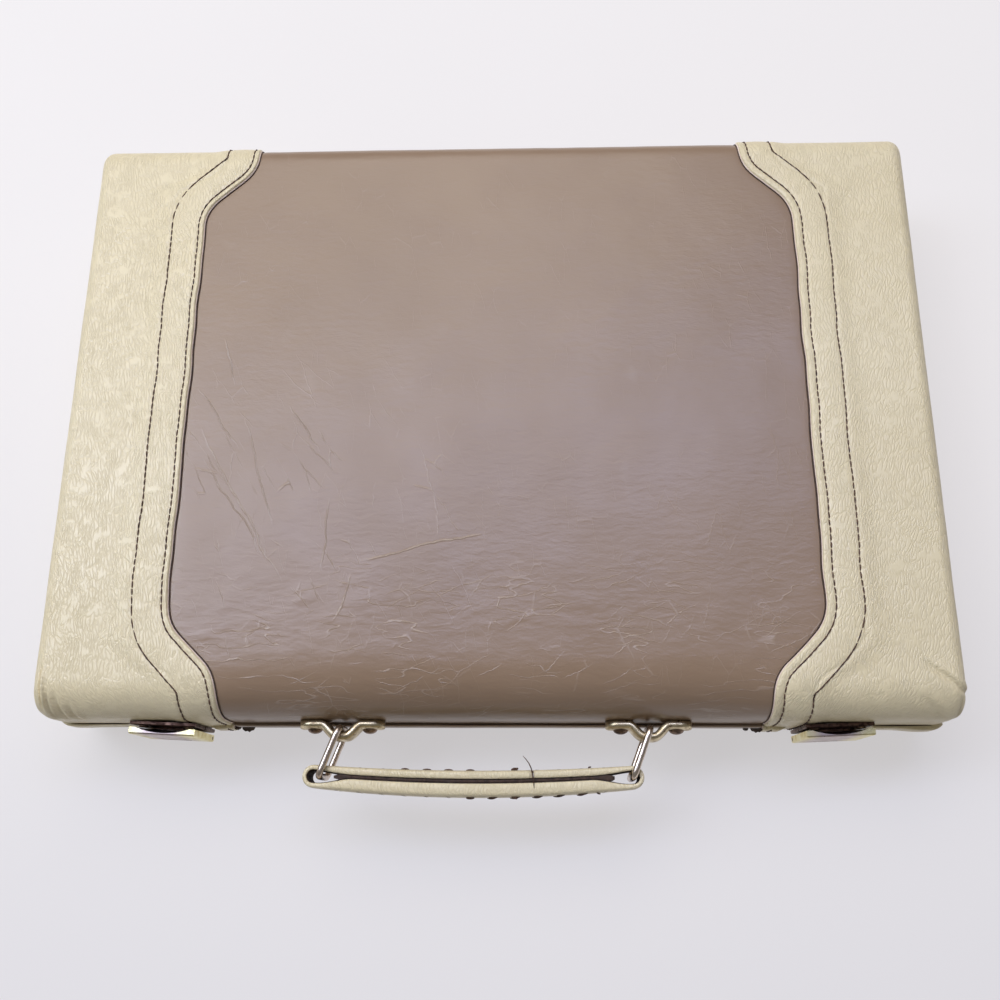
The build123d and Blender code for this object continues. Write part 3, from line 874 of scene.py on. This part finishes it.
class Material:
    """A node material built up step by step."""

    def __init__(self, name, roughness, metallic=0.0, specular=0.5):
        self.material = bpy.data.materials.new(name)
        self.material.use_nodes = True
        self.tree = self.material.node_tree
        self.shader = self.tree.nodes["Principled BSDF"]
        self.shader.inputs["Roughness"].default_value = roughness
        self.shader.inputs["Metallic"].default_value = metallic
        self.shader.inputs["Specular IOR Level"].default_value = specular
        self.place = self.tree.nodes.new("ShaderNodeTexCoord").outputs["Object"]
        self.normal = None

    def node(self, kind, inputs=None, **settings):
        made = self.tree.nodes.new("ShaderNode" + kind)
        for key, value in settings.items():
            setattr(made, key, value)
        for key, value in (inputs or {}).items():
            if isinstance(value, bpy.types.NodeSocket):
                self.tree.links.new(value, made.inputs[key])
            else:
                made.inputs[key].default_value = value
        return made

    def mapped(self, place, **settings):
        inputs = {key.capitalize(): value for key, value in settings.items()}
        return self.node("Mapping", {"Vector": place, **inputs}).outputs[0]

    def shifted(self, place, scale, amount):
        """Places moved about by noise."""
        shift = self.node("TexNoise", {"Vector": self.place, "Scale": scale, "Detail": 2.0})
        middle = {0: shift.outputs["Color"], 1: (0.5, 0.5, 0.5)}
        centred = self.node("VectorMath", middle, operation="SUBTRACT")
        scaled = self.node("VectorMath", {0: centred.outputs[0], "Scale": amount}, operation="SCALE")
        return self.node("VectorMath", {0: place, 1: scaled.outputs[0]}, operation="ADD").outputs[0]

    def stretched(self, x, y, z, warp=0.0, warp_scale=60.0):
        """Object coordinates scaled per axis, optionally warped by noise."""
        place = self.shifted(self.place, warp_scale, warp) if warp else self.place
        return self.mapped(place, scale=(x, y, z))

    def warped(self, warp, warp_scale, jag):
        """Object coordinates shifted widely and finely by noise."""
        return self.shifted(self.stretched(1, 1, 1, warp, warp_scale), jag_scale, jag)

    def flat(self, warp, warp_scale, jag, mirrored=False):
        """Sheet coordinates that run on over the edges of the case."""
        place = self.warped(warp, warp_scale, jag)
        parts = self.node("SeparateXYZ", {"Vector": place}).outputs
        across = self.math("ABSOLUTE", parts[0]) if mirrored else parts[0]
        across = self.math("SUBTRACT", across, parts[2])
        along = self.math("ADD", parts[1], parts[2])
        return self.node("CombineXYZ", {0: across, 1: along}).outputs[0]

    def noise(self, vector, scale, detail):
        return self.node("TexNoise", {"Vector": vector, "Scale": scale, "Detail": detail}).outputs[0]

    def ramp(self, value, *stops):
        """Display colours or plain levels between places from 0 to 1."""
        made = self.node("ValToRGB", {"Fac": value})
        elements = made.color_ramp.elements
        while len(elements) < len(stops):
            elements.new(0.5)
        for element, (position, colour) in zip(elements, stops):
            element.position = position
            element.color = linear(*colour) if isinstance(colour, tuple) else (colour, colour, colour, 1.0)
        return made.outputs["Color"]

    def mix(self, share, first, second):
        made = self.node("Mix", {0: share}, data_type="RGBA")
        for index, value in ((6, first), (7, second)):
            if isinstance(value, bpy.types.NodeSocket):
                self.tree.links.new(value, made.inputs[index])
            else:
                made.inputs[index].default_value = linear(*value)
        return made.outputs[2]

    def math(self, operation, first, second=0.0):
        return self.node("Math", {0: first, 1: second}, operation=operation).outputs[0]

    def times(self, first, second):
        return self.math("MULTIPLY", first, second)

    def most(self, first, second):
        return self.math("MAXIMUM", first, second)

    def axis(self, number):
        return self.node("SeparateXYZ", {"Vector": self.place}).outputs[number]

    def fall(self, value, start, end):
        """1 up to a start, falling to 0 at an end."""
        inputs = {"Value": value, "From Min": start, "From Max": end, "To Min": 1.0, "To Max": 0.0}
        return self.node("MapRange", inputs).outputs[0]

    def bump(self, height, distance, strength=1.0):
        """One more layer of relief, its depth in millimetres."""
        inputs = {"Height": height, "Distance": distance * millimetre, "Strength": strength}
        if self.normal is not None:
            inputs["Normal"] = self.normal
        self.normal = self.node("Bump", inputs).outputs[0]
        self.tree.links.new(self.normal, self.shader.inputs["Normal"])

    def set(self, socket, value):
        self.tree.links.new(value, self.shader.inputs[socket])


def crackle(m, place, turn, stretch, scale, width):
    """Thin lines along the edges of cells on the sheet, the cells turned and stretched."""
    place = m.mapped(m.mapped(place, rotation=(0, 0, turn)), scale=(stretch, 1.0, 1.0))
    inputs = {"Vector": place, "Scale": scale}
    cells = m.node("TexVoronoi", inputs, feature="DISTANCE_TO_EDGE", voronoi_dimensions="2D")
    return m.fall(cells.outputs[0], 0.0, width)


def strokes(m, place, turn, stretch, scale, width):
    """Long wavering lines where a stretched noise passes its middle level."""
    place = m.mapped(m.mapped(place, rotation=(0, 0, turn)), scale=(stretch, 1.0, 1.0))
    level = m.math("ABSOLUTE", m.math("SUBTRACT", m.noise(place, scale, 1.0), 0.5))
    return m.fall(level, 0.0, width)


def long_crease(m, place, start, angle, length, width):
    """One long crease on the top, in metres from a start at an angle, fading at both ends."""
    turn = {"Vector": place, "Location": (*start, 0.0), "Rotation": (0, 0, math.radians(angle))}
    moved = m.node("Mapping", turn, vector_type="TEXTURE").outputs[0]
    parts = m.node("SeparateXYZ", {"Vector": moved}).outputs
    line = m.fall(m.math("ABSOLUTE", parts[1]), 0.0, width)
    away = m.math("ABSOLUTE", m.math("SUBTRACT", parts[0], length / 2))
    return m.times(line, m.fall(away, length / 4, length / 2))


def broken(m, lines, scale, threshold):
    """Lines kept in patches only."""
    kept = m.ramp(m.noise(m.place, scale, 2.0), (threshold, 0.0), (threshold + 0.1, 1.0))
    return m.times(lines, kept)


def cream_material(name="cream_vinyl"):
    m = Material(name, 0.36)
    wide = m.noise(m.place, 14.0, 3.0)
    colour = m.ramp(wide, (0.3, (221, 206, 166)), (0.7, (226, 212, 174)))
    grime = m.noise(m.stretched(1, 1, 1, 0.01), 90.0, 4.0)
    colour = m.mix(m.ramp(grime, (0.66, 0.0), (0.8, 0.12)), colour, (190, 172, 126))
    sheet = m.flat(0.007, 38.0, 0.0005, mirrored=True)
    grain = broken(m, crackle(m, sheet, 1.75, 0.24, 760.0, 0.2), 170.0, 0.34)
    fine = broken(m, crackle(m, sheet, 1.4, 0.3, 1150.0, 0.2), 190.0, 0.44)
    hollows = m.most(grain, m.times(fine, 0.7))
    # The grain's hollows are painted darker: painted shade in the grain
    m.set("Base Color", m.mix(m.times(hollows, 0.17), colour, (178, 158, 118)))
    m.bump(m.math("SUBTRACT", 1.0, hollows), 0.18, 0.75)
    m.bump(m.noise(m.stretched(1.0, 0.5, 0.7), 150.0, 2.0), 0.16, 0.35)
    m.set("Roughness", m.ramp(m.noise(m.place, 40.0, 3.0), (0.3, 0.3), (0.7, 0.4)))
    return m.material


def span(m, axis, start, end):
    """0 to 1 between two places along an axis, in metres."""
    inputs = {"Value": m.axis(axis), "From Min": start, "From Max": end}
    return m.node("MapRange", inputs, interpolation_type="SMOOTHSTEP").outputs[0]


# Start in metres, angle in degrees, length and width of the longest creases of the top
long_creases = [
    ((-0.1326, 0.0215), -54.0, 0.036, 0.0004), ((-0.1301, 0.0039), -60.0, 0.082, 0.0005),
    ((-0.1265, -0.0119), -56.0, 0.052, 0.0004), ((-0.1102, 0.0094), -74.0, 0.056, 0.0004),
    ((-0.0908, 0.0121), -54.0, 0.026, 0.0004), ((-0.1216, 0.0459), -75.0, 0.024, 0.0004),
    ((-0.0713, -0.0291), -90.0, 0.034, 0.0004), ((-0.0599, -0.0621), -106.0, 0.024, 0.0004),
    ((-0.0567, -0.0574), 13.0, 0.055, 0.0005),
]


def taupe_material():
    m = Material("taupe_vinyl", 0.34)
    wide = m.noise(m.place, 11.0, 3.0)
    colour = m.ramp(wide, (0.3, (138, 114, 90)), (0.7, (145, 121, 97)))
    worn = m.ramp(m.noise(m.place, 60.0, 5.0), (0.66, 0.0), (0.8, 0.25))
    colour = m.mix(worn, colour, (160, 143, 126))
    left = m.times(span(m, 0, 0.02, -0.06), span(m, 1, 0.06, -0.02))
    low = span(m, 1, -0.045, -0.085)
    sheet = m.flat(0.006, 40.0, 0.0009)
    slants = broken(m, crackle(m, sheet, 1.05, 0.3, 125.0, 0.028), 58.0, 0.52)
    uprights = broken(m, crackle(m, sheet, 1.5, 0.26, 165.0, 0.03), 70.0, 0.54)
    waves = broken(m, strokes(m, sheet, 0.06, 0.26, 150.0, 0.013), 45.0, 0.48)
    slips = broken(m, crackle(m, sheet, -0.5, 0.34, 130.0, 0.03), 62.0, 0.52)
    creases = m.most(m.times(slants, left), m.times(uprights, 0.35))
    folds = m.most(waves, m.times(slips, 0.7))
    creases = m.most(creases, m.times(folds, low))
    top = m.warped(0.006, 55.0, 0.0008)
    top_crease_lines = 0.0
    for crease in long_creases:
        top_crease_lines = m.most(long_crease(m, top, *crease), top_crease_lines)
    top_crease_lines = m.times(top_crease_lines, span(m, 2, 0.045, 0.055))
    creases = m.most(creases, m.times(top_crease_lines, 1.6))
    # The creases are painted lighter: a painted highlight along them
    m.set("Base Color", m.mix(m.times(creases, 0.24), colour, (206, 190, 176)))
    ripples = m.noise(m.stretched(0.34, 1.0, 0.9, 0.012, 34.0), 170.0, 1.5)
    m.bump(m.times(ripples, m.math("ADD", m.times(low, 0.95), 0.05)), 0.5, 0.45)
    m.bump(creases, 0.13, 0.8)
    grain = m.noise(m.stretched(0.35, 1.0, 0.8, 0.004, 120.0), 420.0, 2.0)
    m.bump(grain, 0.22, 0.5)
    m.bump(m.noise(m.stretched(0.5, 1.0, 0.8), 1300.0, 2.0), 0.05, 0.5)
    m.set("Roughness", m.ramp(m.noise(m.place, 35.0, 3.0), (0.3, 0.28), (0.7, 0.36)))
    return m.material


def plain_material(name, first, second, roughness, scale, relief, relief_scale=None):
    """Two tones broken up by noise, with a little relief."""
    m = Material(name, roughness)
    tone = m.noise(m.place, scale, 4.0)
    m.set("Base Color", m.ramp(tone, (0.35, first), (0.65, second)))
    gloss = m.noise(m.place, scale * 2, 3.0)
    m.set("Roughness", m.ramp(gloss, (0.3, roughness * 0.8), (0.7, roughness * 1.2)))
    m.bump(m.noise(m.place, relief_scale or scale * 6, 3.0), relief)
    return m.material


def metal_material(name, bright, dull, tarnish, roughness, share):
    """Aged metal: bright where rubbed, darker in patches, finely scratched."""
    m = Material(name, roughness, metallic=1.0)
    cloud = m.noise(m.place, 260.0, 5.0)
    colour = m.ramp(cloud, (0.35, bright), (0.65, dull))
    spots = m.ramp(m.noise(m.place, 700.0, 4.0), (share, 0.0), (share + 0.12, 0.9))
    m.set("Base Color", m.mix(spots, colour, tarnish))
    m.set("Roughness", m.ramp(cloud, (0.3, roughness * 0.75), (0.7, roughness * 1.35)))
    m.bump(m.noise(m.stretched(1, 1, 0.2), 2400.0, 2.0), 0.03, 0.6)
    m.bump(m.noise(m.place, 420.0, 3.0), 0.08, 0.5)
    return m.material


def lever_material():
    """Brass lever with a bright yellow painted highlight at both ends and a greyer painted reflection in
    the middle.
    """
    m = Material("lever_brass", 0.34, metallic=1.0)
    across = m.math("ABSOLUTE", m.axis(0))
    apart = m.math("ABSOLUTE", m.math("SUBTRACT", across, latch_middle * millimetre))
    end_highlight = m.node("MapRange", {"Value": apart, "From Min": 0.006, "From Max": 0.0125}).outputs[0]
    cloud = m.noise(m.place, 300.0, 4.0)
    # Painted reflection: greyer lilac tones in the middle; painted highlight: bright yellow at both ends
    middle = m.ramp(cloud, (0.35, (194, 180, 176)), (0.65, (176, 160, 156)))
    bright = m.ramp(cloud, (0.35, (244, 236, 190)), (0.7, (222, 206, 140)))
    m.set("Base Color", m.mix(end_highlight, middle, bright))
    m.set("Roughness", m.ramp(cloud, (0.3, 0.26), (0.7, 0.42)))
    m.bump(m.noise(m.place, 420.0, 3.0), 0.06, 0.5)
    return m.material


def wood_material():
    m = Material("frame_wood", 0.5)
    rings = m.noise(m.stretched(0.12, 1.0, 1.0, 0.01), 260.0, 5.0)
    m.set("Base Color", m.ramp(rings, (0.3, (74, 50, 34)), (0.55, (104, 74, 50)), (0.75, (86, 58, 40))))
    m.bump(rings, 0.1, 0.4)
    return m.material


def felt_material(name, first, second):
    m = Material(name, 0.95, specular=0.15)
    m.shader.inputs["Sheen Weight"].default_value = 0.35
    fibres = m.noise(m.stretched(1, 1, 1, 0.004, 300.0), 1600.0, 4.0)
    m.set("Base Color", m.ramp(fibres, (0.3, first), (0.7, second)))
    m.bump(fibres, 0.2, 0.7)
    return m.material


cream = cream_material()
strap_cream = cream_material("handle_vinyl")
taupe = taupe_material()
raw_edge = plain_material("raw_edge", (214, 190, 170), (228, 208, 190), 0.7, 300.0, 0.08)
thread = plain_material("thread", (62, 42, 32), (98, 70, 52), 0.8, 900.0, 0.08)
# Dark brown for the torn lining and the strap's backing; also painted shade in the hem lines, the front
# seam line and between the strap's layers
dark_lining_and_shade = plain_material("dark_lining_and_shade", (52, 38, 30), (78, 60, 48), 0.85, 500.0, 0.1)
lever_brass = lever_material()

# Bright, dull and tarnished colour, roughness and the level above which the metal is tarnished
metals = {
    "aged_brass": ((216, 202, 168), (172, 156, 124), (120, 96, 78), 0.34, 0.58),
    # The latch plates' dark brass is painted dark: painted shade and a dark painted reflection on the
    # plates
    "dark_brass": ((120, 96, 84), (84, 62, 54), (52, 38, 34), 0.42, 0.5),
    "hinge_brass": ((206, 178, 112), (160, 132, 80), (90, 70, 46), 0.34, 0.6),
    "rivet_metal": ((146, 124, 106), (98, 80, 68), (58, 46, 40), 0.38, 0.52),
    "ring_metal": ((224, 210, 196), (196, 178, 162), (140, 118, 100), 0.28, 0.62),
}
# Two tones, roughness, scale of the tones, relief and its scale
plains = {
    "hardboard": ((120, 92, 64), (140, 110, 80), 0.8, 300.0, 0.1),
    "point_light": ((216, 204, 172), (226, 214, 184), 0.55, 60.0, 0.06, 500.0),
    "point_dark": ((62, 38, 28), (78, 50, 36), 0.55, 60.0, 0.06, 500.0),
    "checker_light": ((226, 216, 188), (238, 230, 206), 0.22, 80.0, 0.02),
    "checker_dark": ((64, 34, 22), (84, 46, 30), 0.22, 80.0, 0.02),
    "cup_leather": ((66, 42, 28), (86, 58, 40), 0.5, 90.0, 0.15, 900.0),
    "die_ivory": ((232, 224, 200), (240, 234, 214), 0.2, 120.0, 0.01),
    "die_brown": ((60, 32, 22), (76, 42, 30), 0.2, 120.0, 0.01),
}
finishes = {name: metal_material(name, *values) for name, values in metals.items()}
finishes.update({name: plain_material(name, *values) for name, values in plains.items()})
finishes["frame_wood"] = wood_material()
finishes["field_felt"] = felt_material("field_felt", (84, 58, 40), (104, 74, 52))
rivet_metal = finishes["rivet_steel"] = finishes.pop("rivet_metal")
ring_metal = finishes.pop("ring_metal")
slot_of = {row["node"]: row["material_slot"] for row in frame["record"]["subparts"]}
for node_name, node_object in frame["nodes"].items():
    finish = lever_brass if node_name.startswith("latch_lever") else finishes.get(slot_of[node_name])
    if finish:
        node_object.data.materials.clear()
        node_object.data.materials.append(finish)

for half in ("lid", "base"):
    centre_cover(half, taupe)
    for side in (-1, 1):
        end_cover(half, side, cream, raw_edge)
        seam_stitches(half, side, thread)
        hem_shade_line(half, side, dark_lining_and_shade)
seam_shade_line(dark_lining_and_shade)
for side in (-1, 1):
    torn_edges(side, dark_lining_and_shade)
strap_body(strap_cream, dark_lining_and_shade)
strap_layer_shade(dark_lining_and_shade)
strap_stitches(thread)
bracket_rivets(rivet_metal)
for side in (-1, 1):
    bracket_piece(side, finishes["aged_brass"])
for ring_name in ("ring_left", "ring_right"):
    ring_wire_piece(ring_name, ring_metal)


# Floor, light and camera
floor_reach = 3.0
floor_glow = 0.66


def floor_plane():
    """A pale floor that darkens a little towards the front: painted shade, in its colour and in the glow
    it shows to the camera.
    """
    mesh = bpy.data.meshes.new("floor")
    spots = [(x * floor_reach, y * floor_reach, 0) for x, y in ((-1, -1), (1, -1), (1, 1), (-1, 1))]
    mesh.from_pydata(spots, [], [(0, 1, 2, 3)])
    m = Material("floor", 0.8, specular=0.2)
    tone = m.ramp(m.noise(m.place, 3.0, 2.0), (0.3, (240, 235, 228)), (0.7, (245, 240, 233)))
    # Painted shade: darker towards the front
    near = m.times(span(m, 1, 0.12, -0.3), 0.7)
    m.set("Base Color", m.mix(near, tone, (228, 225, 222)))
    shade = m.mix(near, (238, 235, 236), (223, 221, 226))
    glow = m.node("Emission", {"Color": shade})
    rays = m.node("LightPath").outputs
    seen = m.most(rays["Is Camera Ray"], rays["Is Glossy Ray"])
    seen = m.times(m.most(seen, rays["Is Transmission Ray"]), floor_glow)
    blend = m.node("MixShader", {0: seen, 1: m.shader.outputs[0], 2: glow.outputs[0]})
    m.tree.links.new(blend.outputs[0], m.tree.nodes["Material Output"].inputs["Surface"])
    mesh.materials.append(m.material)
    linked("floor", mesh)


def area_light(name, place, aim, size, power, colour):
    data = bpy.data.lights.new(name, "AREA")
    data.shape = "RECTANGLE"
    data.size, data.size_y = size
    data.energy = power
    data.color = colour
    lamp = linked(name, data)
    lamp.location = place
    lamp.rotation_euler = (Vector(aim) - Vector(place)).to_track_quat("-Z", "Y").to_euler()


floor_plane()
world = bpy.data.worlds.new("studio")
world.use_nodes = True
sky = world.node_tree.nodes["Background"].inputs
sky["Color"].default_value = (1.0, 0.97, 0.92, 1.0)
sky["Strength"].default_value = 0.2
bpy.context.scene.world = world
area_light("ceiling", (-0.42, 0.95, 1.5), (0, 0.3, 0), (1.8, 0.9), 16.5, (1.0, 0.94, 0.85))
area_light("sky", (-0.1, 0.45, 1.5), (0, 0, 0), (1.7, 0.36), 12.6, (0.58, 0.65, 1.0))
area_light("window", (-1.02, 0.22, 1.2), (0, 0, 0), (0.6, 0.7), 7.5, (0.68, 0.8, 1.0))

camera_data = bpy.data.cameras.new("camera")
camera_data.sensor_width = 36.0
camera_data.lens = 38.32
camera = linked("camera", camera_data)
camera.location = (0.01729, -0.16581, 0.49463)
camera.rotation_euler = (0.3018, 0.0328, 0.0052)
bpy.context.scene.camera = camera
bpy.context.scene.view_settings.view_transform = "Standard"


def corners(bounds):
    return [[round(value, 5) for value in corner] for corner in bounds]
